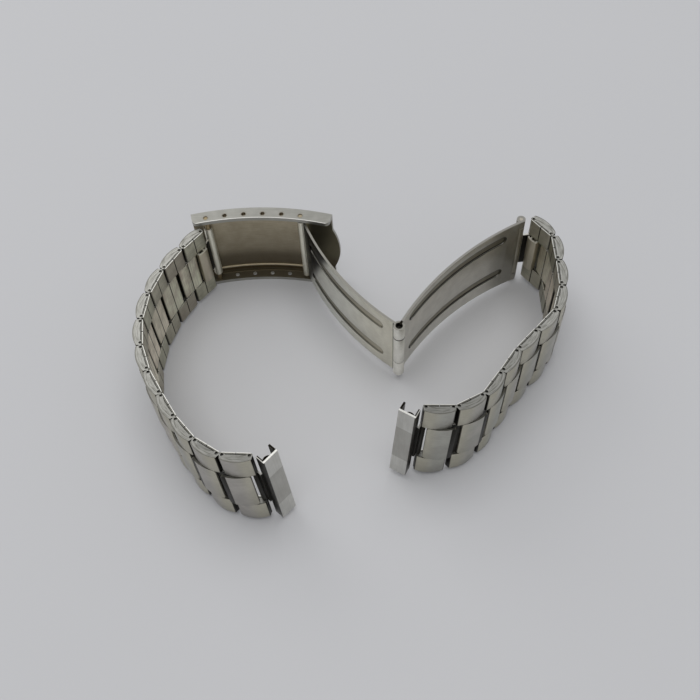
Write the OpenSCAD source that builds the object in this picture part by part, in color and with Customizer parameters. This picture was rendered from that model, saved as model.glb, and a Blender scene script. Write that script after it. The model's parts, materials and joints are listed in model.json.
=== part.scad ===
// Steel watch bracelet of folded links, 20 mm at the lugs, standing on one edge
// with its folding clasp open. X runs along the clasp cover, Y points away from
// the wrist and Z points up. The origin is on the outer face of the cover's lower
// side, midway between the third and the fourth adjustment hole.

/* [Strand widths] */
// Width of the strand at the watch
lug_w = 20; // [19:0.1:20.4]
// Width of the strand at the clasp
clasp_w = 17; // [16.4:0.1:17.6]
// Width of the centre shells at the watch
lug_centre_w = 10; // [9:0.1:11]
// Width of the centre shells at the clasp
clasp_centre_w = 8.6; // [8:0.1:9.4]

/* [Links] */
// Distance between the two pins of one outer link
pin_span = 4.4; // [4.2:0.05:4.6]
// Distance between the two pins of one inner link
pin_gap = 1.15; // [1.1:0.05:1.4]
// Radius of an outer link's round ends, which is also the pins' height over its inner face
end_r = 0.5; // [0.46:0.01:0.51]
// Thickness of an outer link at its crown
crown_h = 1.85; // [1.8:0.05:2]
// Radius of the crown along the strand
crown_r = 6; // [5.6:0.1:7]
// Radius of an outer link's corners under the crown
crown_corner = 0.3; // [0.25:0.05:0.4]
// Set-back of an outer link's end walls from its round ends
wall_back = 0.09; // [0.07:0.01:0.12]
// Thickness of the folded sheet
sheet_t = 0.35; // [0.3:0.01:0.4]
// Width of the slit between the folded layers
slit_w = 0.1; // [0.06:0.01:0.14]
// Width of the seam where the folded sheet meets
seam_w = 0.12; // [0.08:0.01:0.2]
// Radius of the link pins
pin_r = 0.25; // [0.22:0.01:0.26]
// Radial play of an inner link on its pins
pin_play = 0.08; // [0.07:0.01:0.09]
// Reach of an inner link past its pins
wing = 1.95; // [1.8:0.05:2]
// Thickness of an inner link
wing_t = 0.96; // [0.94:0.01:0.98]
// Length of a centre shell
cap_len = 5; // [4.8:0.05:5.1]
// Shift of a centre shell towards the clasp
cap_shift = 0.9; // [0.8:0.05:1]
// Radius of a centre shell's crown
cap_r = 7; // [6.5:0.1:8]
// Height of a centre shell's crown over the outer links'
cap_rise = 0.2; // [0.2:0.01:0.3]
// Radius of a centre shell's corners
cap_corner = 0.5; // [0.3:0.05:0.7]
// Reach of the first row's inner shell past the pins towards the wrist
shell_bulge = 1.2; // [1.15:0.05:1.3]
// Outer radius of the inner shell's bulge
shell_r = 2.6; // [2.4:0.1:3]
// Distance from the first pin to the inner shell's bulge
shell_from = 0.1; // [0.08:0.02:0.2]
// Gap between pieces that lie side by side
side_gap = 0.1; // [0.08:0.01:0.12]

/* [Clasp cover] */
// Width of the cover over its two sides
cover_w = 19.3; // [19.1:0.1:19.8]
// Length of the cover to the left of the middle of its holes
cover_left = 11.3; // [10.8:0.1:12]
// Length of the cover to the right of the middle of its holes
cover_right = 14.4; // [13.5:0.1:15]
// Radius of the curve on which the holes lie
hole_row_r = 50; // [48:0.5:55]
// Distance between neighbouring adjustment holes
hole_pitch = 3.5; // [3.4:0.05:3.6]
// Radius of the adjustment holes
hole_r = 0.4; // [0.38:0.01:0.44]
// Depth of the cover outside the holes
cover_out = 1.45; // [1.4:0.05:1.6]
// Depth of the cover inside the holes
cover_in = 0.95; // [0.9:0.05:1.1]
// Thickness of the cover's outer plate
plate_t = 0.5; // [0.4:0.02:0.5]
// Thickness of the cover's two sides
side_t = 0.8; // [0.7:0.05:0.9]
// Width of the doubled edge inside the plate
hem_w = 1.8; // [1.4:0.1:2.2]
// Thickness of the doubled edge
hem_t = 0.2; // [0.16:0.01:0.2]
// Width of the thumb lip
lip_w = 11.2; // [9:0.2:12]
// Reach of the thumb lip past the cover
lip_len = 1.2; // [0.8:0.1:1.4]

/* [Clasp blades] */
// Width of the two blades at the middle hinge
blade_w = 15.4; // [15:0.1:16]
// Width of the first blade at the cover
blade_cover_w = 16.6; // [16.2:0.1:17.4]
// Width of the second blade at the strand
blade_strand_w = 17.8; // [17.7:0.1:18.4]
// Thickness of the blades
blade_t = 0.42; // [0.38:0.02:0.5]
// Curve radius of the blades
blade_r = 52; // [48:1:60]
// Distance from the cover's hinge pin to the middle hinge
blade_1_len = 29; // [28:0.1:30]
// Distance from the middle hinge to the strand's spring bar
blade_2_len = 31.5; // [31:0.1:32]
// Direction of the first blade
blade_1_heading = -53; // [-56:1:-45]
// Direction of the second blade
blade_2_heading = 43.5; // [40:0.5:48]
// Outer radius of the first blade's rolled end on the cover
knuckle_r = 0.68; // [0.66:0.01:0.72]
// Outer radius of the middle hinge
barrel_r = 1; // [0.95:0.01:1.05]
// Length of the middle hinge's upper knuckle
upper_knuckle = 3.4; // [3:0.1:4]
// Length of the middle hinge's lower knuckle
lower_knuckle = 4.2; // [3.6:0.1:4.6]
// Radius of the middle hinge's pin
mid_pin_r = 0.58; // [0.5:0.01:0.6]
// Depth of the middle hinge's pin below its upper knuckle's end
mid_pin_inset = 0.9; // [0.3:0.1:1.5]
// Radius of the cover's hinge pin
cover_pin_r = 0.35; // [0.32:0.01:0.36]
// Distance of the pressed grooves from the first blade's middle
groove_z = 4.4; // [4:0.1:4.6]
// The same on the second blade near the middle hinge
groove_z_hinge = 4.7; // [4.2:0.1:4.8]
// The same on the second blade near the strand
groove_z_strand = 5; // [4.6:0.1:5.2]
// Shift of the second blade's grooves above its middle
groove_shift = 0.8; // [0:0.1:1]
// Width of the pressed grooves
groove_w = 2; // [1.6:0.1:2.2]
// Depth of the pressed grooves
groove_d = 0.2; // [0.15:0.01:0.24]
// Distance of a groove's end from the hinges
groove_end = 3.3; // [3:0.1:4.5]
// Length of each curled ear on the second blade
ear_len = 1.9; // [1.5:0.1:2.1]

/* [Spring bars and connectors] */
// Radius of a spring bar's tube
bar_r = 0.5; // [0.46:0.01:0.51]
// Radius of a spring bar's tips
tip_r = 0.34; // [0.32:0.01:0.36]
// Outer radius of a connector's rolled tube
tube_r = 0.8; // [0.78:0.01:0.84]
// Radial clearance of whatever turns on a bar or pin
run_gap = 0.05; // [0.03:0.01:0.06]
// Radial clearance of pins that are pressed home
fit_gap = 0.01; // [0.01:0.002:0.02]
// Distance from a spring bar to the first link pin
connector_len = 2.4; // [2.3:0.05:2.5]
// Thickness of a connector's web
web_t = 0.36; // [0.3:0.02:0.4]
// Length of the connector's tube at the cover
cover_tube_h = 13.9; // [13:0.1:14]
// Length of the connector's tube at the blade
blade_tube_h = 13.7; // [13:0.1:13.8]

/* [End links] */
// Width of an end link's face
end_face = 3.05; // [2.9:0.05:3.3]
// Depth of an end link
end_depth = 1.8; // [1.75:0.05:1.8]
// Height of an end link's face over the pins
end_rise = 2.75; // [2.7:0.05:2.85]
// Distance from the last pin to the end link's body
end_gap = 0.6; // [0.6:0.05:0.8]
// Radius of the bore for the watch's spring bar
lug_bore_r = 0.8; // [0.75:0.01:0.82]
// Wall of the tube round that bore
lug_tube_wall = 0.2; // [0.18:0.01:0.24]
// Distance of that tube's ends from the strand's edges
lug_tube_inset = 2.6; // [2:0.1:3.5]

/* [Pose] */
// Direction in which the left strand's connector leaves the cover
left_heading = -115; // [-118:1:-110]
// Direction in which the right strand's connector leaves the blade
right_heading = 6; // [3:1:9]
// Sideways lean that each of the last rows adds
lean_step = 0.8; // [0:0.1:0.8]
// Number of rows at the free end that lean
lean_rows = 6; // [1:1:6]

/* [Hidden] */
// Turn at each link, from the connector's hinge to the end link, in degrees
left_turns = [-15, 7.5, 12, 13, 13.5, 13.5, 10, 2, 8, 16, 29.5, 52];
right_turns = [-57.5, -36.5, -2, -17.5, -25, 0, 8, -1.5, -25.5, -28, -30];
left_rows = len(left_turns) - 1;
right_rows = len(right_turns) - 1;
mid_z = cover_w / 2;
// How far a blade's outer face lies inside its rolled ends
roll_step = 0.04;
// How far the rolled ends stop short of a blade's edges
roll_trim = 0.05;
skin = 0.01;
$fn = 48;

// Rows and inner links are numbered from the clasp to the watch.
function numbered(stem, side, i) = str(stem, "_", side, i < 10 ? "0" : "", i);

// Profile of an outer link: round ends under upright walls at wall_x, and a crown
// whose arc runs into a small round corner over each. Their centres lie at corner_y.
wall_x = wall_back - end_r;
crown_top = crown_h - end_r;
crown_y = crown_top - crown_r;
corner_y = crown_y + sqrt((crown_r - crown_corner) ^ 2
                          - (pin_span / 2 + end_r - wall_back - crown_corner) ^ 2);

// The cover's holes and pins, at a distance along the curve through the holes.
function on_row(s, out = 0) =
    let (a = s / hole_row_r * 180 / PI, r = hole_row_r + out)
    [r * sin(a), r * cos(a) - hole_row_r];
hole_1 = on_row(-2.5 * hole_pitch);
hole_6 = on_row(2.5 * hole_pitch);
function unit(a) = [cos(a), sin(a)];
middle_hinge = hole_6 + blade_1_len * unit(blade_1_heading);
blade_end = middle_hinge + blade_2_len * unit(blade_2_heading);

// A link's frame: its heading, and the lean that moves the top of its axis by
// the small plan vector t, in degrees.
function running(v, i) = i < 0 ? 0 : v[i] + running(v, i - 1);
function heading(start, turns, i) = start + running(turns, i - 1);
function lean(start, turns, i) =
    let (first = len(turns) - lean_rows)
    i < first ? [0, 0]
              : lean(start, turns, i - 1) - lean_step * unit(heading(start, turns, i));
function tilt(t) =
    let (a = norm(t), u = a == 0 ? [0, 0] : [-t[1], t[0]] / a, c = cos(a), s = sin(a))
    [[c + u[0] ^ 2 * (1 - c), u[0] * u[1] * (1 - c), u[1] * s],
     [u[0] * u[1] * (1 - c), c + u[1] ^ 2 * (1 - c), -u[0] * s],
     [-u[1] * s, u[0] * s, c]];
function spin(a) = [[cos(a), -sin(a), 0], [sin(a), cos(a), 0], [0, 0, 1]];
function along(axes) = [axes[0][0], axes[1][0], axes[2][0]];

// Where the pins of a strand lie: each entry holds a row's near pin, its axes
// and its heading. Entry 0 is the connector, and the last one is the end link.
function row_axes(start, turns, i) =
    tilt(lean(start, turns, i)) * spin(heading(start, turns, i));
function link_axes(start, turns, i) =
    tilt((lean(start, turns, i) + lean(start, turns, i + 1)) / 2)
    * spin((heading(start, turns, i) + heading(start, turns, i + 1)) / 2);
function near_pin(origin, start, turns, i) =
    i == 1 ? origin + connector_len * along(row_axes(start, turns, 0))
           : far_pin(origin, start, turns, i - 1)
             + pin_gap * along(link_axes(start, turns, i - 1));
function far_pin(origin, start, turns, i) =
    near_pin(origin, start, turns, i) + pin_span * along(row_axes(start, turns, i));

left_origin = [hole_1[0], hole_1[1], mid_z];
right_origin = [blade_end[0], blade_end[1], mid_z];
function taper(i, rows, from, to) = from + (to - from) * (i - 1) / (rows - 1);

// Puts a piece drawn round the origin at a point with the given axes.
module at(point, axes) {
    multmatrix([for (k = [0:2]) [axes[k][0], axes[k][1], axes[k][2], point[k]]])
        children();
}

module slab(z0, z1) {
    translate([0, 0, z0]) linear_extrude(z1 - z0) children();
}

// A part of a ring: between two radii and two distances along the hole curve.
module band(r0, r1, s0, s1) {
    a0 = s0 / hole_row_r * 180 / PI;
    a1 = s1 / hole_row_r * 180 / PI;
    far = 2 * hole_row_r;
    translate([0, -hole_row_r]) intersection() {
        difference() {
            circle(r1, $fn = 360);
            circle(r0, $fn = 360);
        }
        polygon([[0, 0], far * [sin(a0), cos(a0)], far * [sin(a1), cos(a1)]]);
    }
}

// The crown's arc counts only inside the wedge from its centre through both corners.
module outer_profile() {
    crown = [pin_span / 2, crown_y];
    corners = [[wall_x + crown_corner, corner_y],
               [pin_span - wall_x - crown_corner, corner_y]];
    difference() {
        union() {
            for (x = [0, pin_span]) translate([x, 0]) circle(end_r);
            translate([0, -end_r]) square([pin_span, end_r]);
            translate([wall_x, 0]) square([pin_span - 2 * wall_x, corner_y]);
            for (c = corners) translate(c) circle(crown_corner);
            intersection() {
                translate(crown) circle(crown_r, $fn = 96);
                polygon([crown, 2 * corners[0] - crown,
                         [crown[0], 2 * crown_r], 2 * corners[1] - crown]);
                translate([wall_x, 0]) square([pin_span - 2 * wall_x, crown_h * 2]);
            }
        }
        // The seam on the inner face, where the two folded halves meet, and the
        // slit between them and the layer that they lie on.
        translate([(pin_span - seam_w) / 2, -end_r - skin])
            square([seam_w, sheet_t + slit_w / 2 + skin]);
        translate([2 * pin_r, sheet_t - end_r])
            square([pin_span - 4 * pin_r, slit_w]);
    }
}

module outer_link(z0, z1) {
    difference() {
        slab(z0, z1) outer_profile();
        for (x = [0, pin_span])
            translate([x, 0, z0 - skin]) cylinder(r = pin_r + fit_gap, h = z1 - z0 + 2 * skin);
    }
}

// Centre shell: a crowned strip of sheet with round corners over the inner links.
module centre_shell(half) {
    corner_angles = [0:30:90];
    translate([pin_span / 2 - cap_shift, crown_top + cap_rise - cap_r]) intersection() {
        slab(-half, half) difference() {
            circle(cap_r, $fn = 96);
            circle(cap_r - sheet_t, $fn = 96);
        }
        upright(cap_r * 2) polygon([for (q = [0:3])
            let (x = q == 0 || q == 3 ? 1 : -1, y = q < 2 ? 1 : -1)
            for (a = corner_angles)
                [x * (cap_len / 2 - cap_corner), y * (half - cap_corner)]
                + cap_corner * unit(a + 90 * q)]);
    }
}

// One row: an outer link at each edge, the centre shell and the two link pins.
module row(i, rows) {
    half = taper(i, rows, clasp_w, lug_w) / 2;
    centre = taper(i, rows, clasp_centre_w, lug_centre_w) / 2;
    color("silver") {
        outer_link(centre + side_gap / 2, half);
        outer_link(-half, -centre - side_gap / 2);
        centre_shell(centre - side_gap / 2);
    }
    color("gray") for (x = [0, pin_span])
        translate([x, 0, -half + sheet_t]) cylinder(r = pin_r, h = 2 * (half - sheet_t));
}

// Inner link: a flat folded loop that turns on the pins of two neighbouring rows.
module inner_link(i, rows) {
    half = taper(i, rows, clasp_centre_w, lug_centre_w) / 2 - side_gap;
    reach = pin_gap / 2 + wing;
    round_r = wing_t / 2 - skin;
    color("silver") difference() {
        slab(-half, half) difference() {
            union() {
                translate([-reach + round_r, -wing_t / 2])
                    square([2 * (reach - round_r), wing_t]);
                for (x = [-1, 1]) translate([x * (reach - round_r), 0]) circle(round_r);
            }
            translate([-seam_w / 2, -wing_t / 2 - skin]) square([seam_w, sheet_t]);
        }
        for (x = [-1, 1]) translate([x * pin_gap / 2, 0, -half - skin])
            cylinder(r = pin_r + pin_play, h = 2 * (half + skin));
    }
}

// Connector: a rolled tube on a spring bar, a web, and a knuckle on the first link pin.
module connector(tube_h) {
    half = clasp_centre_w / 2 - side_gap;
    knuckle = wing_t / 2;
    color("silver") difference() {
        union() {
            translate([0, 0, -tube_h / 2]) cylinder(r = tube_r, h = tube_h);
            translate([connector_len, 0, -half]) cylinder(r = knuckle, h = 2 * half);
            translate([0, -web_t / 2, -half]) cube([connector_len, web_t, 2 * half]);
        }
        translate([0, 0, -tube_h / 2 - skin])
            cylinder(r = bar_r + run_gap, h = tube_h + 2 * skin);
        translate([connector_len, 0, -half - skin])
            cylinder(r = pin_r + pin_play, h = 2 * (half + skin));
    }
}

// Inner shell: the folded sheet under the first centre shell, bulged towards the
// wrist. It stands between the connector's knuckle and the first inner link.
module inner_shell() {
    half = clasp_centre_w / 2 - side_gap / 2;
    wall = wing_t / 2 + side_gap;
    to = pin_span - wing - 2 * side_gap;
    middle = [(shell_from + to) / 2, shell_r - shell_bulge];
    color("silver") slab(-half, half) {
        intersection() {
            translate(middle) difference() {
                circle(shell_r, $fn = 96);
                circle(shell_r - sheet_t, $fn = 96);
            }
            translate([shell_from, -crown_h]) square([to - shell_from, crown_h]);
        }
        intersection() {
            translate(middle) circle(shell_r - sheet_t / 2);
            for (x = [wall, to - sheet_t - skin]) translate([x, -shell_bulge])
                square([sheet_t, shell_bulge]);
        }
    }
}

module spring_bar(inside, tip) {
    color("gray") {
        translate([0, 0, -inside / 2]) cylinder(r = bar_r, h = inside);
        translate([0, 0, -tip / 2]) cylinder(r = tip_r, h = tip);
    }
}

// Clasp cover: a curved plate with two sides, a doubled edge and a thumb lip.
module cover() {
    outer = hole_row_r + cover_out;
    inner = outer - plate_t;
    round_r = cover_in;
    color("silver") difference() {
        union() {
            slab(0, cover_w) band(inner, outer, -cover_left, cover_right);
            for (z = [0, cover_w - side_t]) slab(z, z + side_t) {
                band(hole_row_r - cover_in, outer, -cover_left + round_r, cover_right - round_r);
                band(hole_row_r, outer, -cover_left, cover_right);
                for (s = [-cover_left + round_r, cover_right - round_r])
                    translate(on_row(s)) circle(round_r);
            }
            for (z = [side_t, cover_w - side_t - hem_w])
                slab(z, z + hem_w) band(inner - hem_t, inner, -cover_left, cover_right);
            thumb_lip(inner, outer);
        }
        for (k = [0:5]) translate(on_row((k - 2.5) * hole_pitch)) translate([0, 0, -skin])
            cylinder(r = hole_r, h = cover_w + 2 * skin);
    }
}

// Thumb lip: the outer plate carried on as a rounded tongue.
module thumb_lip(inner, outer) {
    lip_r = (lip_w ^ 2 / 4 + lip_len ^ 2) / (2 * lip_len);
    end_a = cover_right / hole_row_r * 180 / PI;
    translate([0, -hole_row_r, 0]) rotate(-end_a) translate([0, inner, mid_z])
        rotate([-90, 0, 0]) linear_extrude(plate_t) intersection() {
            translate([lip_len - lip_r, 0]) circle(lip_r);
            translate([-plate_t, -lip_w / 2]) square([lip_len + plate_t, lip_w]);
        }
}

module cover_hinge_pin() {
    color("gray") translate([hole_6[0], hole_6[1], side_t / 8])
        cylinder(r = cover_pin_r, h = cover_w - side_t / 4);
}

module cover_spring_bar() {
    translate(left_origin) spring_bar(cover_w - 2 * side_t - side_gap, cover_w - side_t / 4);
}

// A curved blade from the origin along X. out is 1 where the outer side lies
// towards +Y. off, w and groove are pairs for the blade's two ends: the sheet's
// offset, its width and the place of its grooves, which lie on both sides of the
// height lift. face is 1 where they are pressed into the outer side and -1 where
// they are pressed into the inner side.
module blade_sheet(length, out, face, off, w, groove, lift) {
    chord = norm([length, off[1] - off[0]]);
    turn = atan2(off[1] - off[0], length);
    sag = sqrt(blade_r ^ 2 - (chord / 2) ^ 2);
    wide = max(w) / 2;
    floor_r = blade_r + face * (blade_t / 2 - groove_d);
    scale([1, out, 1]) translate([0, off[0], 0]) rotate(turn)
        translate([chord / 2, -sag, 0]) difference() {
            intersection() {
                slab(-wide, wide) intersection() {
                    difference() {
                        circle(blade_r + blade_t / 2, $fn = 360);
                        circle(blade_r - blade_t / 2, $fn = 360);
                    }
                    polygon([[0, 0], [-chord, sag * 2], [chord, sag * 2]]);
                }
                upright(sag * 2) polygon([[-chord, w[0] * 3 / 4 - w[1] / 4],
                                          [-chord, w[1] / 4 - w[0] * 3 / 4],
                                          [chord, w[0] / 4 - w[1] * 3 / 4],
                                          [chord, w[1] * 3 / 4 - w[0] / 4]]);
            }
            for (side = [-1, 1]) intersection() {
                slab(-wide, wide) difference() {
                    circle(max(floor_r, blade_r + face * blade_t), $fn = 360);
                    circle(min(floor_r, blade_r + face * blade_t), $fn = 360);
                }
                upright(sag * 2)
                    slot([groove_end + groove_w / 2 - chord / 2, lift + side * groove[0]],
                         [chord / 2 - groove_end - groove_w / 2, lift + side * groove[1]],
                         groove_w / 2);
            }
        }
}

// A prism over a drawing in the XZ plane, from Y = 0 to Y = depth.
module upright(depth) {
    translate([0, depth, 0]) rotate([90, 0, 0]) linear_extrude(depth) children();
}

// A drawn slot with round ends, from a to b.
module slot(a, b, r) {
    side = (r - skin) * [a[1] - b[1], b[0] - a[0]] / norm(b - a);
    for (p = [a, b]) translate(p) circle(r);
    polygon([a + side, a - side, b - side, b + side]);
}

module cover_blade() {
    half = blade_w / 2;
    start = roll_step + blade_t / 2 - knuckle_r;
    color("silver") translate([hole_6[0], hole_6[1], mid_z]) rotate(blade_1_heading)
        difference() {
            union() {
                blade_sheet(blade_1_len, -1, 1, [start, 0], [blade_cover_w, blade_w],
                            [groove_z, groove_z], 0);
                translate([0, 0, roll_trim - blade_cover_w / 2])
                    cylinder(r = knuckle_r, h = blade_cover_w - 2 * roll_trim);
                translate([blade_1_len, 0, half - upper_knuckle])
                    cylinder(r = barrel_r, h = upper_knuckle - roll_trim);
                translate([blade_1_len, 0, roll_trim - half])
                    cylinder(r = barrel_r, h = lower_knuckle - roll_trim);
            }
            translate([0, 0, -blade_cover_w])
                cylinder(r = cover_pin_r + run_gap, h = blade_cover_w * 2);
            translate([blade_1_len, 0, -half - skin])
                cylinder(r = mid_pin_r + fit_gap, h = blade_w + 2 * skin);
            translate([blade_1_len, 0, -half + lower_knuckle])
                cylinder(r = barrel_r + side_gap,
                         h = blade_w - upper_knuckle - lower_knuckle);
        }
}

module middle_hinge_pin() {
    color("gray") translate([middle_hinge[0], middle_hinge[1], mid_z - blade_w / 2 + side_gap])
        cylinder(r = mid_pin_r, h = blade_w - side_gap - mid_pin_inset);
}

module strand_blade() {
    half = blade_w / 2;
    half_end = blade_strand_w / 2;
    end = roll_step + blade_t / 2 - tube_r;
    z0 = -half + lower_knuckle + side_gap;
    z1 = half - upper_knuckle - side_gap;
    color("silver") translate([middle_hinge[0], middle_hinge[1], mid_z])
        rotate(blade_2_heading) difference() {
            union() {
                blade_sheet(blade_2_len, 1, -1, [0, end], [blade_w, blade_strand_w],
                            [groove_z_hinge, groove_z_strand], groove_shift);
                translate([0, 0, z0]) cylinder(r = barrel_r, h = z1 - z0);
                for (z = [roll_trim - half_end, half_end - ear_len])
                    translate([blade_2_len, 0, z]) cylinder(r = tube_r, h = ear_len - roll_trim);
            }
            translate([0, 0, z0 - skin])
                cylinder(r = mid_pin_r + run_gap, h = z1 - z0 + 2 * skin);
            for (z = [[-half - skin, z0], [z1, half + skin]]) translate([0, 0, z[0]])
                cylinder(r = barrel_r + side_gap, h = z[1] - z[0]);
            translate([blade_2_len, 0, -half_end - skin])
                cylinder(r = tip_r + fit_gap, h = blade_strand_w + 2 * skin);
            translate([blade_2_len, 0, -half_end + ear_len])
                cylinder(r = tube_r + side_gap, h = blade_strand_w - 2 * ear_len);
        }
}

module strand_spring_bar() {
    translate(right_origin)
        spring_bar(blade_strand_w - 2 * ear_len - side_gap, blade_strand_w - side_gap);
}

// End link: a hollow channel with a tab on the last link pin and a tube for the
// watch's spring bar.
module end_link() {
    half = lug_w / 2;
    tab = lug_centre_w / 2 - side_gap;
    back = end_rise - end_depth;
    tube_r_out = lug_bore_r + lug_tube_wall;
    tube_x = end_gap + end_face / 2;
    tube_y = end_rise - sheet_t / 3 - tube_r_out;
    tube_half = half - lug_tube_inset;
    color("silver") difference() {
        union() {
            slab(-half, half) difference() {
                translate([end_gap, back]) square([end_face, end_depth]);
                translate([end_gap + sheet_t, back - skin])
                    square([end_face - 2 * sheet_t, end_depth - sheet_t + skin]);
            }
            slab(-tab, tab) {
                circle(end_r);
                translate([end_r - sheet_t - skin, 0]) square([sheet_t, back + sheet_t]);
                translate([end_r - sheet_t - skin, back])
                    square([end_gap + 2 * sheet_t - end_r, sheet_t]);
            }
            translate([tube_x, tube_y, -tube_half])
                cylinder(r = tube_r_out, h = 2 * tube_half);
        }
        translate([0, 0, -tab - skin])
            cylinder(r = pin_r + pin_play, h = 2 * (tab + skin));
        translate([tube_x, tube_y, -tube_half - skin])
            cylinder(r = lug_bore_r, h = 2 * (tube_half + skin));
    }
}

// The pieces of one strand, each at its place. out is 1 where the wrist lies to
// the right of the strand's direction.
module strand(side, name, origin, start, turns, out, tube_h) {
    rows = len(turns) - 1;
    flip = [[1, 0, 0], [0, out, 0], [0, 0, 1]];
    at(origin, row_axes(start, turns, 0)) connector(tube_h);
    at(near_pin(origin, start, turns, 1), row_axes(start, turns, 1) * flip) inner_shell();
    for (i = [1:rows]) at(near_pin(origin, start, turns, i), row_axes(start, turns, i) * flip) row(i, rows);
    for (i = [1:rows - 1]) at((far_pin(origin, start, turns, i) + near_pin(origin, start, turns, i + 1)) / 2,
           link_axes(start, turns, i) * flip) inner_link(i, rows);
    at(far_pin(origin, start, turns, rows), row_axes(start, turns, rows + 1) * flip)
            end_link();
}

cover();
cover_hinge_pin();
cover_spring_bar();
cover_blade();
middle_hinge_pin();
strand_blade();
strand_spring_bar();
strand("L", "left", left_origin, left_heading, left_turns, -1, cover_tube_h);
strand("R", "right", right_origin, right_heading, right_turns, 1, blade_tube_h);
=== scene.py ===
# %% [markdown]
# # A steel watch bracelet, standing on its edge with the clasp open
#
# The solids of this bracelet come from CAD: rows of folded links, a clasp of a
# cover and two blades, spring bars and end links. They have the true sizes and the
# true joints. What they lack is the look of worn steel, so this lesson gives them
# soft edges, brushed and dulled finishes, and the light of a small studio.
#
# We load the solids first and keep their box, because nothing we add may make
# the bracelet bigger than it is.

# %% Load the solids
import json
import math

import bpy
import numpy as np
from mathutils import Matrix, Vector


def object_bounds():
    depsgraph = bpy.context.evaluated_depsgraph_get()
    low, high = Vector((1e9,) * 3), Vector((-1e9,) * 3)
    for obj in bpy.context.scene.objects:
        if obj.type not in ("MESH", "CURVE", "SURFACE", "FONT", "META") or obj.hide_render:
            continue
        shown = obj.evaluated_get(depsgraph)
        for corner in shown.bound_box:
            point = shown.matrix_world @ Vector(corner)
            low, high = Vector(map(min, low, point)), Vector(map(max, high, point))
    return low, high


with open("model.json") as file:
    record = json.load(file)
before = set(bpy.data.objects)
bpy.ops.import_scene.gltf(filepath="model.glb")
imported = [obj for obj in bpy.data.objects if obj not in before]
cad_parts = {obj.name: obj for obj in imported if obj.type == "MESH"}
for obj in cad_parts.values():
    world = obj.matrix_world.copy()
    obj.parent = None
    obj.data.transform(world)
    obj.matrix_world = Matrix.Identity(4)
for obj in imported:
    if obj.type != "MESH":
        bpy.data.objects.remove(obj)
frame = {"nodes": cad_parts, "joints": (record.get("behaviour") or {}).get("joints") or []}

MM = 0.001  # metres in a millimetre

cad_low, cad_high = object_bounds()
nodes = frame["nodes"]
joints = {joint["name"]: joint for joint in frame["joints"]}
print(len(nodes), "solids,", len(joints), "joints, box in mm:",
      [round(1000 * (b - a), 1) for a, b in zip(cad_low, cad_high)])

# %% [markdown]
# ## The camera
#
# The picture was taken from above and in front, from close by, with a normal
# lens. A camera could be aimed with a Track To constraint, but the photograph is
# also rolled by a few degrees, so we work out the three axes of the camera
# ourselves and write them into its matrix.

# %% Camera
def camera_axes(down, roll, turn):
    """Right, up and back of a camera. It looks along +Y, is tipped down by one
    angle, rolled about its own line of sight by the next, and turned about Z."""
    d, r, t = np.radians([down, roll, turn])
    right, up = np.array([1, 0, 0]), np.array([0, np.sin(d), np.cos(d)])
    back = np.array([0, -np.cos(d), np.sin(d)])
    rolled = np.array([np.cos(r) * right + np.sin(r) * up,
                       np.cos(r) * up - np.sin(r) * right, back])
    about_z = np.array([[np.cos(t), -np.sin(t), 0], [np.sin(t), np.cos(t), 0], [0, 0, 1]])
    return rolled @ about_z.T


camera = bpy.data.objects.new("camera", bpy.data.cameras.new("camera"))
bpy.context.scene.collection.objects.link(camera)
axes = camera_axes(down=58.5, roll=-3.8, turn=3.0)
camera.matrix_world = (Matrix.Translation((0.02219, -0.11472, 0.158))
                       @ Matrix(axes.T.tolist()).to_4x4())
camera.data.lens, camera.data.sensor_width = 50.0, 36.0
camera.data.clip_start, camera.data.clip_end = 0.01, 5.0
bpy.context.scene.camera = camera
bpy.context.scene.view_settings.view_transform = "Standard"
print("camera at", [round(1000 * x) for x in camera.location], "mm")

# %% [markdown]
# ## A way to write shader maths
#
# Each finish below is a small sum of masks and noises. Joining Math nodes by hand
# is slow to read, so one class wraps a socket and turns +, -, * and a few
# functions into nodes. Every other kind of node goes through one method, `add`,
# which takes the node's settings first and then what goes into its sockets.

# %% Shader maths
class Wire:
    """One output of a shader node, with arithmetic."""

    def __init__(self, paint, socket):
        self.paint, self.socket = paint, socket

    def math(self, operation, *others):
        return self.paint.add("Math", {"operation": operation}, dict(enumerate((self, *others))))

    def __add__(self, other):
        return self.math("ADD", other)

    def __sub__(self, other):
        return self.math("SUBTRACT", other)

    def __mul__(self, other):
        return self.math("MULTIPLY", other)

    def __rsub__(self, other):
        return self.math("MULTIPLY_ADD", -1.0, other)

    __radd__, __rmul__ = __add__, __mul__

    def __abs__(self):
        return self.math("ABSOLUTE")

    def distance(self, other):
        """How far from zero a point is that has this and another coordinate."""
        return (self * self + other * other).math("SQRT")

    def over(self, low, high):
        """0 below low, 1 above high, and a smooth ramp between them."""
        return self.paint.add("MapRange", {"interpolation_type": "SMOOTHSTEP"},
                              {"Value": self, "From Min": low, "From Max": high})

    def under(self, low, high):
        """1 below low, 0 above high, and a smooth ramp between them."""
        return 1 - self.over(low, high)

    def near(self, place, half, soft=0.06):
        """1 where the value is within half of a place, with a soft border."""
        return abs(self - place).under(half, half + soft)


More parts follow.
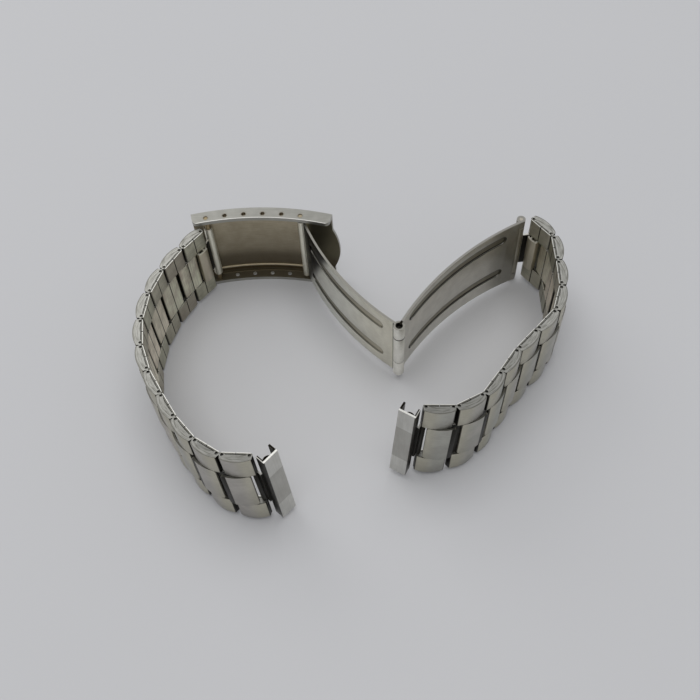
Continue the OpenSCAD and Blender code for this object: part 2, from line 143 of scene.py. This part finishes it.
class Paint:
    """A material under construction: a Principled shader and what feeds it."""

    def __init__(self, name):
        self.material = bpy.data.materials.new(name)
        self.material.use_nodes = True
        self.tree = self.material.node_tree
        self.shader = self.tree.nodes["Principled BSDF"]

    def feed(self, slot, value):
        if isinstance(value, Wire):
            self.tree.links.new(value.socket, slot)
        else:
            slot.default_value = value

    def add(self, kind, settings, inputs, output=0):
        """Any node: its kind, its settings, and what goes into its sockets."""
        node = self.tree.nodes.new("ShaderNode" + kind)
        for key, value in settings.items():
            setattr(node, key, value)
        for key, value in inputs.items():
            self.feed(node.inputs[key], value)
        return Wire(self, node.outputs[output])

    def blend(self, amount, first, second):
        """The first colour where amount is 0 and the second where it is 1."""
        first, second = (v if isinstance(v, Wire) else (*v, 1.0) for v in (first, second))
        return self.add("Mix", {"data_type": "RGBA"}, {0: amount, 6: first, 7: second}, output=2)

    def noise(self, place, scale, detail):
        """Noise over a place, stretched by a scale on each axis."""
        drawn = self.add("Mapping", {}, {"Vector": place, "Scale": scale})
        return self.add("TexNoise", {}, {"Vector": drawn, "Scale": 1.0, "Detail": detail})

    def facing(self, direction):
        """How far the surface faces a direction: 1 towards it, -1 away from it."""
        normal = self.add("TexCoord", {}, {}, output=1)
        return self.add("VectorMath", {"operation": "DOT_PRODUCT"},
                        {0: normal, 1: tuple(direction)}, output=1)

    def set(self, **inputs):
        for key, value in inputs.items():
            self.feed(self.shader.inputs[key.replace("_", " ")], value)


print("shader maths ready")

# %% [markdown]
# ## The light
#
# The bracelet stands on a pale grey table under a wide, soft light. Steel shows
# little colour of its own: what we see in it is its surroundings. So the metal
# mirrors a plain backdrop, and its shade is set there, while a fainter sky gives
# the light. One large lamp overhead lights the table almost without shadow and
# isn't mirrored, and a smaller one behind and to the left draws the upper edges
# and throws the soft shadows to the front. The strengths are kept so that a
# colour renders about as it is written.

# %% World and lamps
SKY, SKY_STRENGTH = (0.98, 0.99, 1.0, 1), 0.46
BACKDROP = (0.62, 0.625, 0.63, 1)

world = bpy.data.worlds.new("studio")
bpy.context.scene.world = world
world.use_nodes = True
tree = world.node_tree
path = tree.nodes.new("ShaderNodeLightPath")
mirrored, seen = tree.nodes.new("ShaderNodeMath"), tree.nodes.new("ShaderNodeMath")
mirrored.operation = seen.operation = "MAXIMUM"
for start, slot in (("Is Glossy Ray", mirrored.inputs[0]),
                    ("Is Transmission Ray", mirrored.inputs[1]),
                    ("Is Camera Ray", seen.inputs[0])):
    tree.links.new(path.outputs[start], slot)
tree.links.new(mirrored.outputs[0], seen.inputs[1])
sky = tree.nodes["Background"]
sky.inputs["Color"].default_value, sky.inputs["Strength"].default_value = SKY, SKY_STRENGTH
backdrop = tree.nodes.new("ShaderNodeBackground")
backdrop.inputs["Color"].default_value = BACKDROP
either = tree.nodes.new("ShaderNodeMixShader")
for slot, output in zip(either.inputs, (seen.outputs[0], sky.outputs[0], backdrop.outputs[0])):
    tree.links.new(output, slot)
tree.links.new(either.outputs[0], tree.nodes["World Output"].inputs["Surface"])


def soft_lamp(name, place, aim, size, power, tint):
    """A square lamp of the given size at a place, turned towards aim."""
    data = bpy.data.lights.new(name, "AREA")
    data.shape, data.size, data.energy, data.color = "SQUARE", size, power, tint
    lamp = bpy.data.objects.new(name, data)
    bpy.context.scene.collection.objects.link(lamp)
    turned = (Vector(aim) - Vector(place)).to_track_quat("-Z", "Y").to_matrix().to_4x4()
    lamp.matrix_world = Matrix.Translation(place) @ turned
    return lamp


middle = (cad_low + cad_high) / 2
overhead = soft_lamp("lamp_overhead", place=(0.0, 0.03, 0.90), aim=middle, size=0.80,
                     power=4.0, tint=(1.0, 1.0, 1.0))
overhead.visible_glossy = False
soft_lamp("lamp_back_left", place=(-0.26, 0.30, 0.36), aim=middle, size=0.30,
          power=0.30, tint=(1.0, 0.99, 0.96))
print("faint sky, a wide lamp overhead and one behind and to the left")

# %% [markdown]
# ## The table
#
# The table is a plain sheet of pale grey, far wider than the picture. A Plane
# from the Add menu would do, but a grid of points in an array serves as well.

# %% Table
TABLE_LIGHT, TABLE_DARK = (0.60, 0.60, 0.615), (0.56, 0.565, 0.585)


def grid_mesh(name, points):
    """A mesh over a grid of points, given as an array of rows, columns and XYZ."""
    rows, columns = points.shape[:2]
    index = np.arange(rows * columns).reshape(rows, columns)
    faces = np.stack([index[:-1, :-1], index[1:, :-1], index[1:, 1:], index[:-1, 1:]], -1)
    mesh = bpy.data.meshes.new(name)
    mesh.from_pydata(points.reshape(-1, 3).tolist(), [], faces.reshape(-1, 4).tolist())
    mesh.update()
    thing = bpy.data.objects.new(name, mesh)
    bpy.context.scene.collection.objects.link(thing)
    return thing


edge = np.linspace(-1.2, 1.2, 3)
flat = np.stack([*np.meshgrid(edge, edge, indexing="ij"), np.full((3, 3), cad_low.z)], -1)
floor = grid_mesh("floor", flat)
table = Paint("table_top")
drift = table.noise(table.add("TexCoord", {}, {}, output=3), (6.0, 6.0, 6.0), 2.0)
table.set(Base_Color=table.blend(drift, TABLE_DARK, TABLE_LIGHT), Roughness=0.85,
          Specular_IOR_Level=0.1)
floor.data.materials.append(table.material)
print("table at z", round(cad_low.z * 1000, 2), "mm")

# %% [markdown]
# ## Where each link lies
#
# Brushing and wear follow a link, not the room, so a finish has to know how its
# link is turned. The joints tell us: a row runs from its near pin to its far pin,
# and its pins stand along the joint's axis. A Mapping node of the Texture type
# then undoes that place and turn, and gives coordinates of the link's own.

# %% Link frames
upright = np.array([0.0, 0.0, 1.0])


def pin_place(name):
    return np.array(joints[name]["pos_m"])


def pin_axis(name):
    axis = np.array(joints[name]["axis"], float)
    return axis * np.sign(axis[2]) / np.linalg.norm(axis)


class Place:
    """A piece's own frame: X runs along it and Z along its pins. out is 1 where Y
    points to its outer side, and -1 where Y points to the wrist."""

    def __init__(self, start, end, axis, out):
        along = end - start
        along = along - axis * (along @ axis)
        self.start, self.z, self.out = start, axis, out
        self.x = along / np.linalg.norm(along)
        self.y = np.cross(axis, self.x)
        self.length = 1000 * np.linalg.norm(end - start)
        self.turn = Matrix(np.array([self.x, self.y, self.z]).T.tolist()).to_euler()


def standing(start):
    """The frame of a piece that stands upright and isn't turned."""
    return Place(start, start + np.array([MM, 0, 0]), upright, 1)


row_count = {strand: sum(n.startswith("row_" + strand) for n in nodes) for strand in "LR"}
places = {
    "cover_blade": Place(pin_place("clasp_cover_hinge"), pin_place("clasp_middle_hinge"),
                         upright, 1),
    "strand_blade": Place(pin_place("clasp_middle_hinge"), pin_place("connector_right_bar"),
                          upright, -1)}
for strand, whole, out in (("L", "left", -1), ("R", "right", 1)):
    count = row_count[strand]
    for i in range(1, count + 1):
        here, near = f"{strand}{i:02d}", f"row_{strand}{i:02d}_near_pin"
        far = f"row_{here}_far_pin" if i < count else f"end_link_{whole}_pin"
        places["row_" + here] = Place(pin_place(near), pin_place(far), pin_axis(near), out)
        if i < count:
            beyond = pin_place(f"row_{strand}{i + 1:02d}_near_pin")
            places["inner_link_" + here] = Place(pin_place(far), beyond, pin_axis(far), out)
    places["inner_shell_" + whole] = places[f"row_{strand}01"]
    bar, first = f"connector_{whole}_bar", pin_place(f"row_{strand}01_near_pin")
    places["connector_" + whole] = Place(pin_place(bar), first, pin_axis(bar), out)
print(len(places), "pieces placed; a row is", round(places["row_L01"].length, 2),
      "mm from pin to pin")

# %% [markdown]
# ## Softened edges
#
# No edge of worn steel is sharp: a thin rounded line along it catches the lamp.
# The solids arrive as loose triangles, so each gets two modifiers. Weld joins
# the triangles, and Bevel rounds each edge where two faces meet at more than 32
# degrees. The cover is left as it is: its plate is one long curved face, and a
# bevel would bend the shading across all of it.

# %% Edge modifiers
THICK_EDGE, THIN_EDGE = 0.06, 0.03


def soften(name, width):
    """Rounds the edges of a solid by a width in millimetres."""
    weld = nodes[name].modifiers.new("join", "WELD")
    weld.merge_threshold = 2e-6
    bevel = nodes[name].modifiers.new("round_edges", "BEVEL")
    bevel.width, bevel.segments = width * MM, 2
    bevel.limit_method, bevel.angle_limit = "ANGLE", math.radians(32)
    bevel.use_clamp_overlap, bevel.miter_outer = True, "MITER_ARC"


rounded = [name for name in nodes if name != "cover"]
for name in rounded:
    soften(name, THICK_EDGE if name.startswith(("row", "end")) else THIN_EDGE)
print("edges rounded on", len(rounded), "solids")

# %% [markdown]
# ## Worn steel
#
# One kind of steel is used all over, finished in several ways: satin on the
# crowns, hatched on the cut ends, dull and a little brown inside. The base of all
# of them is the same: noise drawn out along the brushing for the scratches, and a
# slow cloudy noise for the wear. Every length below is in millimetres.

# %% A brushed steel
ALONG, ACROSS, UPWARDS = (0.3, 6.0, 9.0), (6.0, 6.0, 0.2), (4.0, 4.0, 0.25)
CLOUDS = (0.5, 0.5, 0.35)
LINE_SHARE, CLOUD_SHARE, WORN = 0.7, 0.6, (0.4, 0.9)
SCRATCH, SCRATCH_DEPTH = 0.12, 0.00002
METAL, ROUGH_SPREAD = 0.9, 0.24
BLACKENED = (0.014, 0.012, 0.008)
SQUARE = (0.75, 0.9)  # facing an axis by less doesn't count, and by more counts fully


class Steel(Paint):
    """Steel brushed along one axis of its own frame. Its tones are blended in by
    masks, and `dress` makes the result the material of a solid."""

    def __init__(self, name, place, lay, light, dark):
        super().__init__(name + "_steel")
        self.own = self.add("Mapping", {"vector_type": "TEXTURE"}, {
            "Vector": self.add("TexCoord", {}, {}, output=3), "Location": tuple(place.start),
            "Rotation": tuple(place.turn), "Scale": (MM, MM, MM)})
        self.x, y, self.z = (self.add("SeparateXYZ", {}, {0: self.own}, output=k)
                             for k in range(3))
        self.rise = y * place.out
        self.lines = self.noise(self.own, lay, 3.0)
        clouds = self.noise(self.own, CLOUDS, 3.0)
        self.wear = (self.lines * LINE_SHARE + clouds * CLOUD_SHARE).over(*WORN)
        self.colour = self.blend(self.wear, dark, light)

    def tone(self, mask, light, dark=None):
        """Where the mask is 1, a new tone, with the wear between its two values."""
        new = light if dark is None else self.blend(self.wear, dark, light)
        self.colour = self.blend(mask, self.colour, new)

    def blacken(self, mask):
        """Black where the mask is 1: painted shade in gaps, hollows and hidden parts, and the dark
        of seams, joints and grooves.
        """
        self.tone(mask, BLACKENED)

    def ends(self, axis):
        """1 on the two sides of a piece that face along an axis."""
        return abs(self.facing(axis)).over(*SQUARE)

    def top(self):
        """1 on what faces straight up."""
        return self.facing(upright).over(*SQUARE)

    def dress(self, name, slot, rough=0.42):
        """Makes this the material of a solid, with rough as its mean roughness."""
        bump = self.add("Bump", {}, {"Height": self.lines, "Strength": SCRATCH,
                                     "Distance": SCRATCH_DEPTH})
        self.set(Base_Color=self.colour, Metallic=METAL,
                 Roughness=self.lines * ROUGH_SPREAD + (rough - ROUGH_SPREAD / 2), Normal=bump)
        nodes[name].data.materials.clear()
        nodes[name].data.materials.append(self.material)


print("brushed steel ready")

# %% [markdown]
# ## The rows
#
# A row is two outer links with a crowned centre shell between them. Seen from the
# side, the crowns are satin, with a painted warm reflection that makes them warmer
# and lighter towards the watch. The ends are cut and hatched along the crown's
# curve, with a painted highlight on the rim where the sheet is folded over, and are
# darker on the rows near the watch. The inner face is dull and olive, and the gaps
# and the lower flanks are painted black as shade. All of these are masks on the
# row's own coordinates.

# %% Finish of the rows
tints = np.random.default_rng(12)
SHADE, UNEVEN_SHADE, HUE = 0.02, 0.08, 0.015
CROWN_LIGHT, CROWN_DARK = (0.48, 0.47, 0.43), (0.37, 0.36, 0.33)
WARM_REFLECTION_LIGHT, WARM_REFLECTION_DARK = (0.54, 0.52, 0.43), (0.44, 0.42, 0.345)
BACK_LIGHT, BACK_DARK = (0.56, 0.53, 0.43), (0.32, 0.30, 0.235)
END_LIGHT, END_DARK, HATCH = (0.60, 0.595, 0.56), (0.44, 0.435, 0.40), (0.10, 0.095, 0.075)
RIM_HIGHLIGHT = (0.95, 0.94, 0.89)
CROWN_CENTRE, CROWN_RADIUS, WALL = -4.65, 6.0, 0.28
WARM_REFLECTION_FROM, WARM_REFLECTION_TO = -0.9, 1.6       # along the row, from its middle
# Painted shade fills the gaps beyond the pins and the walls, and the lower flanks.
GAP_FROM, GAP_TO = 0.05, 0.4         # along the row, beyond its pins
SIDE_FROM, SIDE_TO = -0.04, 0.06     # along the row, beyond its walls
FLANK_SHADOW = (0.75, 0.85)                 # height of the sides, from the pin line up
INWARD = (0.6, 0.8)                  # facing the wrist by this much
SEAM = (0.06, 0.08)                  # half width and soft border of a seam
HATCH_SCALE, HATCH_LINES, HATCH_SHARE = (0.5, 8.0, 1.0), (0.48, 0.62), 0.55
SKIN_FROM, SKIN_TO, SKIN_SHARE = 0.18, 0.08, 0.65   # depth under the crown's surface
FOLD, FOLD_HALF, FOLD_SOFT, FOLD_SHARE = -0.27, 0.07, 0.04, 0.7
RIM_FROM, RIM_TO = -0.42, -0.36
END_DARKENING, DARKENING_FROM = 0.38, 0.45


def tinted(colour, shade=SHADE):
    """A colour made a little lighter or darker, and moved a little towards pink or
    green, differently for each piece."""
    shift = tints.normal(0.0, 1.0, 2)
    return tuple(float(c * (1 + shade * shift[0] + k * HUE * shift[1]))
                 for c, k in zip(colour, (1, -1, 0)))


def finish_row(name, along_strand):
    """along_strand runs from 0 at the clasp to 1 at the watch, where the cut ends
    are darker."""
    place = places[name]
    half = place.length / 2
    steel = Steel(name, place, ALONG, tinted(CROWN_LIGHT), tinted(CROWN_DARK))
    # painted reflection: each crown grows warmer and lighter towards the watch
    steel.tone(steel.x.over(half + WARM_REFLECTION_FROM, half + WARM_REFLECTION_TO), WARM_REFLECTION_LIGHT, WARM_REFLECTION_DARK)
    ends = steel.ends(place.z)
    inner = steel.facing(-place.out * place.y).over(*INWARD)
    past = abs(steel.x - half)
    steel.tone(inner, tinted(BACK_LIGHT, UNEVEN_SHADE), tinted(BACK_DARK, UNEVEN_SHADE))
    # painted shade in the gap beyond the pins
    steel.blacken(inner * past.over(half + GAP_FROM, half + GAP_TO))
    steel.blacken(inner * steel.x.near(half, *SEAM))
    outer = (1 - ends) * (1 - inner)
    # painted shade between the rows, beyond the walls
    steel.blacken(outer * past.over(half + WALL + SIDE_FROM, half + WALL + SIDE_TO))
    darkening = 1 - END_DARKENING * max(0.0, along_strand - DARKENING_FROM) / (1 - DARKENING_FROM)
    steel.tone(ends, tuple(darkening * c for c in END_LIGHT), tuple(darkening * c for c in END_DARK))
    radius = past.distance(steel.rise - CROWN_CENTRE)
    curved = steel.add("CombineXYZ", {}, {0: steel.x, 1: radius, 2: steel.z})
    hatch = steel.noise(curved, HATCH_SCALE, 2.0).over(*HATCH_LINES)
    skin = radius.over(CROWN_RADIUS - SKIN_FROM, CROWN_RADIUS - SKIN_TO)
    fold = steel.rise.near(FOLD, FOLD_HALF, FOLD_SOFT)
    steel.tone(ends * hatch * HATCH_SHARE, HATCH)
    steel.tone(ends * skin * SKIN_SHARE, HATCH)
    steel.tone(ends * fold * FOLD_SHARE, HATCH)
    # painted highlight on the rim where the sheet is folded over
    steel.tone(ends * steel.rise.under(RIM_FROM, RIM_TO), RIM_HIGHLIGHT)
    # painted shadow on the lower flanks
    steel.blacken(outer * steel.rise.under(*FLANK_SHADOW))
    steel.dress(name, "outer_steel")


for strand, count in row_count.items():
    for i in range(1, count + 1):
        finish_row(f"row_{strand}{i:02d}", i / count)
print("rows finished")

# %% [markdown]
# ## Inner links, shells and connectors
#
# These are folded from thinner sheet and face the wrist. They are brushed across
# the strand, and each has its own slight tint, because skin and time have
# coloured them unevenly. What lies between two rows, the outward side of an inner
# link and the web of a connector are painted black as shade, and the cut edges
# that face up get a painted highlight. The tube of the left connector is painted
# lit and that of the right one shaded.

# %% Finish of the inner pieces
INNER_LIGHT, INNER_DARK = (0.90, 0.845, 0.70), (0.52, 0.48, 0.38)
LIT_TUBE_LIGHT, LIT_TUBE_DARK, CUT_HIGHLIGHT = (0.96, 0.94, 0.82), (0.80, 0.78, 0.67), (0.84, 0.82, 0.76)
SHADED_TUBE_LIGHT, SHADED_TUBE_DARK = (0.46, 0.44, 0.37), (0.30, 0.28, 0.225)
OUTWARD, UPWARD = (0.1, 0.4), (0.7, 0.9)
LOOP_FROM, LOOP_TO = 1.62, 1.9       # along an inner link, beyond its pins
SHELL_FROM, SHELL_TO = -1.35, -1.1   # height of a shell's side above its pin line
WEB, WEB_HALF, WEB_SOFT = 1.6, 0.7, 0.2   # along a connector
TUBE_FROM, TUBE_TO = 0.75, 0.85      # radius of the connector's tube

for name in sorted(n for n in nodes
                   if n.startswith(("inner_link", "inner_shell", "connector"))):
    place = places[name]
    steel = Steel(name, place, ACROSS, tinted(INNER_LIGHT, UNEVEN_SHADE),
                  tinted(INNER_DARK, UNEVEN_SHADE))
    half = place.length / 2
    if name.startswith("inner_link"):
        # painted shade where the link hides between two rows
        steel.blacken(abs(steel.x - half).over(half + LOOP_FROM, half + LOOP_TO))
        steel.blacken(steel.x.near(half, *SEAM))
        # painted shade on the side turned outwards, inside the row
        steel.blacken(steel.facing(place.out * place.y).over(*OUTWARD))
    elif name.startswith("inner_shell"):
        steel.tone(steel.rise.over(SHELL_FROM, SHELL_TO), INNER_DARK)
    else:
        # painted shade on the connector's web
        steel.blacken(steel.x.near(WEB, WEB_HALF, WEB_SOFT))
        # the left connector's tube is painted lit and the right one's painted shaded
        lit_connector = name == "connector_left"
        tube = (LIT_TUBE_LIGHT, LIT_TUBE_DARK) if lit_connector else (SHADED_TUBE_LIGHT, SHADED_TUBE_DARK)
        steel.tone(steel.x.under(TUBE_FROM, TUBE_TO), *tube)
    # painted highlight on the cut edges that face up
    steel.tone(steel.facing(place.z).over(*UPWARD), CUT_HIGHLIGHT)
    steel.dress(name, "inner_steel", rough=0.45)
print("inner pieces finished")

# %% [markdown]
# ## End links
#
# The face of an end link continues the three bands of the strand: duller in the
# middle and lighter outside, with a fine line between them. The cut edge of the
# face gets a painted highlight, and the hollow behind it and the tab on the last
# link pin are painted black as shade. An end link is turned on its pin, so its
# frame is the last row's frame turned by the same angle.

# %% Finish of the end links
FACE_LIGHT, FACE_DARK = (0.62, 0.615, 0.58), (0.50, 0.495, 0.46)
BAND_LIGHT, BAND_DARK, BAND_LINE = (0.46, 0.455, 0.42), (0.38, 0.37, 0.34), (0.30, 0.29, 0.26)
EDGE_HIGHLIGHT, WALL_END = (0.98, 0.97, 0.92), (0.60, 0.59, 0.55)
BODY_FROM, BODY_TO, FACE_RISE, SHEET, BAND = 0.6, 3.65, 2.75, 0.35, 4.8
HAIR = 0.02                          # half a border's width

body_middle, body_half = (BODY_FROM + BODY_TO) / 2, (BODY_TO - BODY_FROM) / 2
under_face = FACE_RISE - SHEET
for name, last, degrees in (("end_link_left", "row_L11", 52.0),
                            ("end_link_right", "row_R10", -30.0)):
    pin, row, turn = name + "_pin", places[last], math.radians(degrees)
    along = math.cos(turn) * row.x + math.sin(turn) * row.y
    place = Place(pin_place(pin), pin_place(pin) + MM * BODY_TO * along, pin_axis(pin), row.out)
    steel = Steel(name, place, UPWARDS, FACE_LIGHT, FACE_DARK)
    steel.tone(steel.z.near(0.0, BAND - 0.05), BAND_LIGHT, BAND_DARK)
    steel.tone(abs(steel.z).near(BAND, 0.03) * 0.5, BAND_LINE)
    ends = steel.ends(place.z)
    behind = steel.rise.under(under_face - HAIR, under_face + HAIR)
    outside = abs(steel.x - body_middle).over(body_half - 0.1, body_half - 0.06)
    # painted shade in the hollow behind the face
    steel.blacken(behind * (1 - outside))
    # painted shade on the tab by the pin
    steel.blacken(steel.x.under(BODY_FROM + 0.05, BODY_FROM + 0.1))
    # painted highlight on the cut edge of the face
    steel.tone(ends * (1 - behind), EDGE_HIGHLIGHT)
    steel.tone(ends * behind * outside, WALL_END)
    steel.dress(name, "outer_steel", rough=0.38)
print("end links finished")

# %% [markdown]
# ## The clasp cover
#
# The cover is brushed lengthwise on its sides, has stained adjustment holes and a
# painted highlight along its rim, and is dull brown inside, with painted shade
# that deepens towards the table and beside the first blade, a painted highlight
# along the hem's edge and painted light in the holes of its lower side. Its plate
# and holes follow an arc, so we measure along that arc and across it, and place
# every mask there.

# %% Finish of the cover
COVER_LIGHT, COVER_DARK = (0.46, 0.455, 0.42), (0.37, 0.365, 0.335)
LINING_LIGHT, LINING_DARK = (0.54, 0.48, 0.36), (0.40, 0.35, 0.25)
PAINTED_SHADE, BLADE_SHADE, HEM_SHADE = (0.10, 0.08, 0.05), (0.17, 0.155, 0.105), (0.10, 0.07, 0.03)
HEM_HIGHLIGHT, CORNER, COVER_RIM_HIGHLIGHT = (0.80, 0.73, 0.59), (0.50, 0.42, 0.31), (0.88, 0.87, 0.83)
STAIN, LEDGE = (0.26, 0.22, 0.15), (0.22, 0.20, 0.15)
BORED, LIGHT_THROUGH_HOLES = (0.16, 0.12, 0.07), (0.70, 0.68, 0.62)
HOLE_ROW, HOLE_PITCH, HOLES, HOLE = 50.0, 3.5, 6, 0.4
SIDE, HEM, WIDE, INNER_EDGE, OUTSIDE = 0.8, 1.8, 19.3, -0.95, 1.0
SHADE_HEIGHTS, DEEP_SHADE_HEIGHTS, BLADE_ARC = (6.0, 18.0), (5.2, 8.6), (9.3, 9.9)
STAIN_WIDTH, LEDGE_FROM, LEDGE_TO = 0.3, 0.1, 0.3

cover = Steel("cover", standing(np.zeros(3)), ALONG, COVER_LIGHT, COVER_DARK)
from_centre = cover.rise + HOLE_ROW
arc = cover.x.math("ARCTAN2", from_centre) * HOLE_ROW
lift = cover.x.distance(from_centre) - HOLE_ROW
sides = cover.ends(upright)
low_side = cover.z.under(SIDE + LEDGE_FROM, SIDE + LEDGE_TO)
inside = cover.z.near(WIDE / 2, WIDE / 2 - SIDE - 0.02, 0.01) * lift.under(OUTSIDE, OUTSIDE + 0.02)
cover.tone(inside, LINING_LIGHT, LINING_DARK)
# painted shade, deepening towards the table
cover.tone(inside * cover.z.under(*SHADE_HEIGHTS) * 0.45, PAINTED_SHADE)
# painted shade beside the first blade's hinge
cover.tone(inside * arc.over(*BLADE_ARC) * 0.8, BLADE_SHADE)
# deeper painted shade low inside the cover
cover.tone(inside * cover.z.under(*DEEP_SHADE_HEIGHTS) * 0.75, PAINTED_SHADE)
# painted highlight along the hem's edge
cover.tone(inside * cover.z.near(SIDE + HEM, 0.10), HEM_HIGHLIGHT)
# painted shade below the hem's edge
cover.tone(inside * cover.z.near(SIDE + HEM - 0.55, 0.3) * 0.7, HEM_SHADE)
cover.tone(inside * cover.z.near(SIDE, 0.06) * lift.over(0.5, 0.6), CORNER)
# painted highlight along the rim of the sides
cover.tone(sides * lift.near(INNER_EDGE + 0.06, 0.07, 0.05), COVER_RIM_HIGHLIGHT)
hole_arc = ((arc * (1 / HOLE_PITCH)).math("FRACT") - 0.5) * HOLE_PITCH
from_hole = hole_arc.distance(lift)
half_row = HOLES / 2 * HOLE_PITCH
drilled = abs(arc).under(half_row - 0.3, half_row)
cover.tone(from_hole.under(HOLE, HOLE + STAIN_WIDTH) * drilled * sides * 0.45, STAIN)
cover.tone(cover.top() * low_side, LEDGE)
walls = from_hole.under(HOLE, HOLE + 0.03) * drilled * (1 - sides)
cover.tone(walls, BORED)
# painted light showing through the holes of the lower side
cover.tone(walls * low_side, LIGHT_THROUGH_HOLES)
cover.dress("cover", "outer_steel")
print("cover finished")

# %% [markdown]
# ## The blades
#
# The two blades are spring steel with two grooves pressed along each. The grooves
# are brown, and black along both borders. The first blade is the lighter one, a
# little yellow near the middle hinge, and painted black as shadow where it hides in
# the cover. The second has painted shade near the strand. The barrels of the middle
# hinge get a painted highlight, with black lines where one knuckle meets the next,
# and the bore of the hinge is painted black as shade. A groove's place along the
# blade is a straight line in the blade's own frame, which a mask can follow.

# %% Finish of the blades
COVER_BLADE_LIGHT, COVER_BLADE_DARK = (0.80, 0.80, 0.73), (0.66, 0.655, 0.59)
STRAND_BLADE_LIGHT, STRAND_BLADE_DARK = (0.72, 0.70, 0.64), (0.58, 0.56, 0.51)
YELLOW_LIGHT, YELLOW_DARK = (0.82, 0.77, 0.62), (0.68, 0.63, 0.50)
LIT_BARREL_LIGHT, LIT_BARREL_DARK = (0.96, 0.945, 0.88), (0.74, 0.725, 0.66)
BROWN, STRAND_SHADE = (0.27, 0.25, 0.195), (0.13, 0.12, 0.09)
COVER_BLADE_EDGE, STRAND_BLADE_EDGE = (0.38, 0.37, 0.33), (0.38, 0.37, 0.34)
GROOVE_HALF, GROOVE_END = 1.0, 3.3
BARREL, KNUCKLE, BORE = 1.0, 0.68, 0.63   # radii of the hinges
KNUCKLE_TOP, KNUCKLE_FOOT = 4.3, -3.5     # heights of the middle knuckle's ends
LINE_HALF, LINE_SOFT = 0.14, 0.05         # the black line between two knuckles
FAINT = 0.2                               # how much of a groove its other face shows
YELLOW_FROM, YELLOW_TO = 12, 27
COVER_SHADOW_FROM, COVER_SHADOW_TO, COVER_SHADOW_SLANT = 4.8, 7.4, 0.55
STRAND_SHADE_FROM, STRAND_SHADE_TO = 8, 3               # along the second blade, before its far end


def finish_blade(name, light, dark, face, groove_near, groove_far, lifted):
    """A blade in two tones with its grooves, which lie at two distances from a
    line lifted above its middle. They are pressed into the outer face where face
    is 1 and into the inner face where it is -1, and show faintly on the other."""
    place = places[name]
    steel = Steel(name, place, ALONG, light, dark)
    line = steel.x * ((groove_far - groove_near) / place.length) + groove_near
    off = abs(abs(steel.z - lifted) - line)
    straight = place.length / 2 - GROOVE_END - GROOVE_HALF
    past = (abs(steel.x - place.length / 2) - straight).math("MAXIMUM", 0.0)
    from_line = off.distance(past)
    away = steel.facing(face * place.out * place.y).over(-0.5, -0.3)
    pressed = away * (1 - FAINT) + FAINT
    steel.tone(pressed * from_line.under(GROOVE_HALF - 0.08, GROOVE_HALF + 0.06), BROWN)
    steel.blacken(pressed * from_line.near(GROOVE_HALF - 0.14, 0.18, 0.08))
    return steel, place


def finish_barrel(steel, from_hinge, edge):
    """The barrel around the middle hinge, painted bright as a highlight, with the
    seam before it, and the tone of the blade's top edge. Gives back the mask of the barrel."""
    barrel = from_hinge.under(BARREL, BARREL + 0.06)
    # painted highlight on the barrel
    steel.tone(barrel, LIT_BARREL_LIGHT, LIT_BARREL_DARK)
    steel.blacken(from_hinge.near(BARREL + 0.02, 0.08, 0.04))
    steel.tone(steel.top(), edge)
    return barrel


steel, place = finish_blade("cover_blade", COVER_BLADE_LIGHT, COVER_BLADE_DARK, face=-1,
                            groove_near=4.4, groove_far=4.4, lifted=0.0)
steel.tone(steel.x.over(YELLOW_FROM, YELLOW_TO) * 0.5, YELLOW_LIGHT, YELLOW_DARK)
# painted shadow where the blade hides in the cover
steel.blacken((steel.x - steel.z * COVER_SHADOW_SLANT).under(COVER_SHADOW_FROM, COVER_SHADOW_TO))
# the rolled tube by the cover's hinge is painted lit
steel.tone(steel.x.under(KNUCKLE, KNUCKLE + 0.1), LIT_TUBE_LIGHT, LIT_TUBE_DARK)
from_hinge = place.length - steel.x
barrel = finish_barrel(steel, from_hinge, COVER_BLADE_EDGE)
steel.blacken(barrel * steel.z.near(KNUCKLE_TOP, LINE_HALF, LINE_SOFT))
# painted shade in the bore of the hinge
steel.blacken(from_hinge.distance(steel.rise).under(BORE, BORE + 0.03))
steel.dress("cover_blade", "blade_steel")

steel, place = finish_blade("strand_blade", STRAND_BLADE_LIGHT, STRAND_BLADE_DARK, face=1,
                            groove_near=4.7, groove_far=5.0, lifted=0.8)
# painted shade near the strand's ears
steel.tone(steel.x.over(place.length - STRAND_SHADE_FROM, place.length - STRAND_SHADE_TO) * 0.6, STRAND_SHADE)
barrel = finish_barrel(steel, steel.x, STRAND_BLADE_EDGE)
near_line, far_line = LINE_HALF - LINE_SOFT, LINE_HALF
steel.blacken(barrel * steel.z.over(KNUCKLE_TOP - far_line, KNUCKLE_TOP - near_line))
steel.blacken(barrel * steel.z.under(KNUCKLE_FOOT + near_line, KNUCKLE_FOOT + far_line))
steel.dress("strand_blade", "blade_steel")
print("blades finished")

# %% [markdown]
# ## Pins and spring bars
#
# Little of these shows: their ends in the holes of the cover, in the knuckles and
# in the ears. The cover's own pin and bar are brown, the pin of the middle hinge
# is nearly black, and the bar of the right strand is the cleanest.

# %% Finish of the pins and spring bars
for name, joint, light, dark, slot in (
        ("cover_hinge_pin", "clasp_cover_hinge",
         (0.50, 0.43, 0.30), (0.38, 0.32, 0.21), "pin_steel"),
        ("middle_hinge_pin", "clasp_middle_hinge",
         (0.16, 0.15, 0.13), (0.08, 0.075, 0.06), "pin_steel"),
        ("cover_spring_bar", "connector_left_bar",
         (0.42, 0.34, 0.21), (0.28, 0.22, 0.13), "spring_bar_steel"),
        ("strand_spring_bar", "connector_right_bar",
         (0.66, 0.62, 0.54), (0.5, 0.46, 0.38), "spring_bar_steel")):
    steel = Steel(name, standing(pin_place(joint)), UPWARDS, light, dark)
    steel.dress(name, slot, rough=0.36)
print("pins and spring bars finished")
